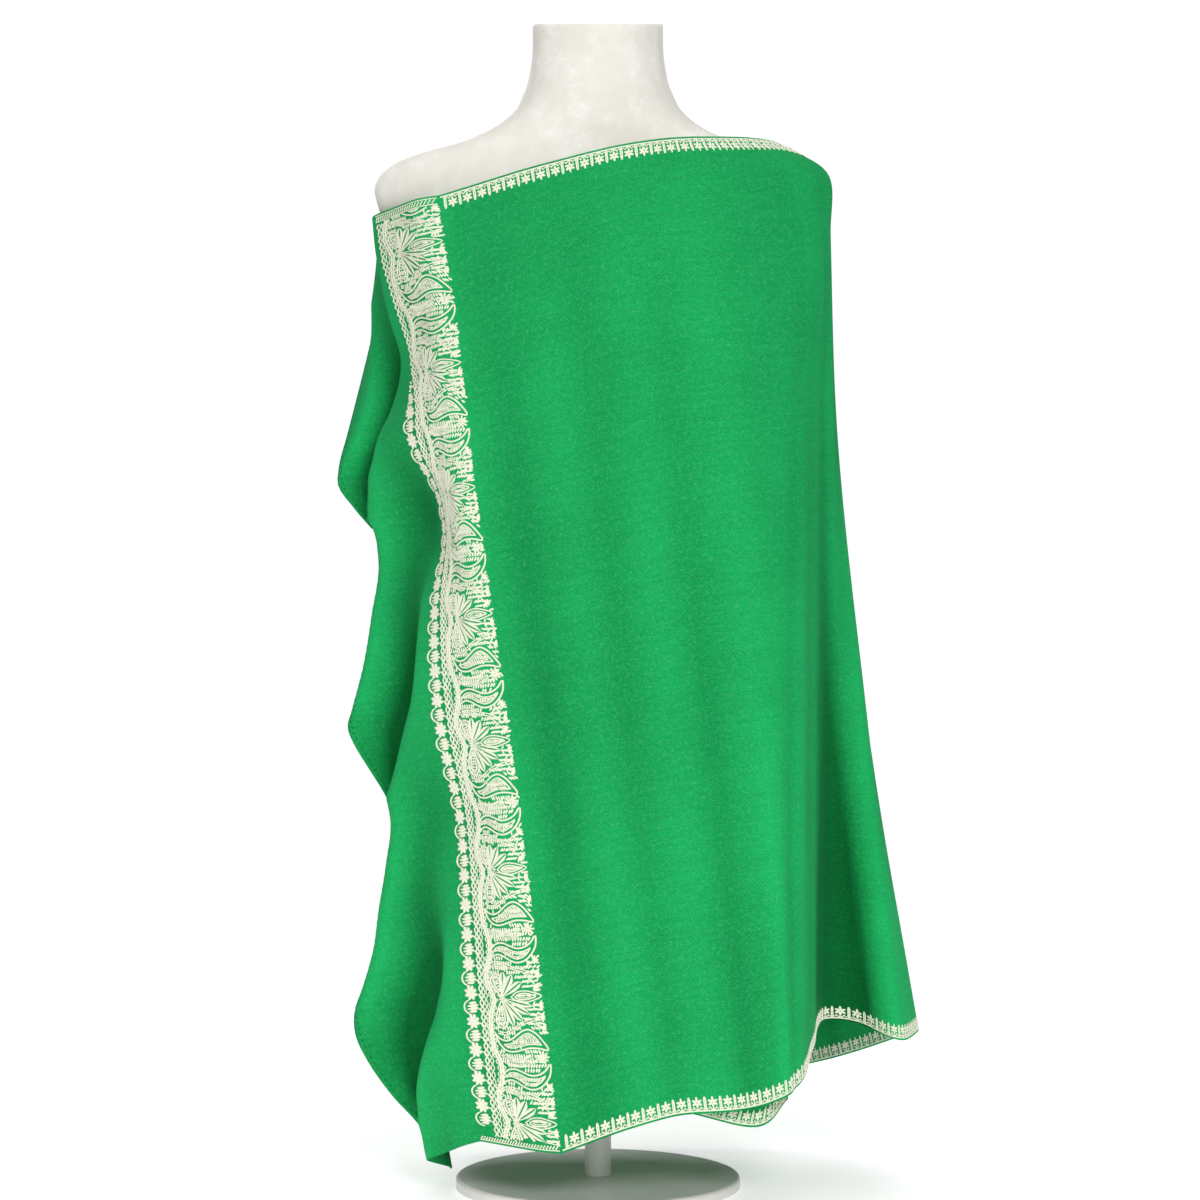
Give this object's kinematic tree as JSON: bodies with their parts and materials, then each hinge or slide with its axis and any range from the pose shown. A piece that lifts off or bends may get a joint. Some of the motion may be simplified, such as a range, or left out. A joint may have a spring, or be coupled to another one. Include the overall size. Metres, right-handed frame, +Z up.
{
  "type": "pashmina shawl on dress form",
  "caption": "Rectangular pashmina shawl with an embroidered end band and narrow embroidered border, wound round a limbless velvet dress form that stands on a round base.",
  "frame": {"origin": "centre of the stand base's underside", "axes": "+Z up along the form's axis, -Y towards the front, +X towards the viewer's right as the front is seen"},
  "size_m": [0.5565, 0.3525, 1.114],
  "materials": {
    "green_pashmina": "fine twill wool with a soft sheen",
    "cream_embroidery_on_green": "cream thread stitched densely on the green wool",
    "white_velvet": "off-white crushed velvet",
    "white_painted_metal": "satin off-white paint"
  },
  "bodies": {
    "root": {"shawl_free_end": "green_pashmina", "shawl_palla": "cream_embroidery_on_green", "shawl_front": "green_pashmina", "shawl_right_side": "green_pashmina", "shawl_back": "green_pashmina", "shawl_under_turn": "green_pashmina", "form_torso": "white_velvet", "form_collar": "white_painted_metal", "form_pole": "white_painted_metal", "form_base": "white_painted_metal"}
  },
  "joints": []
}
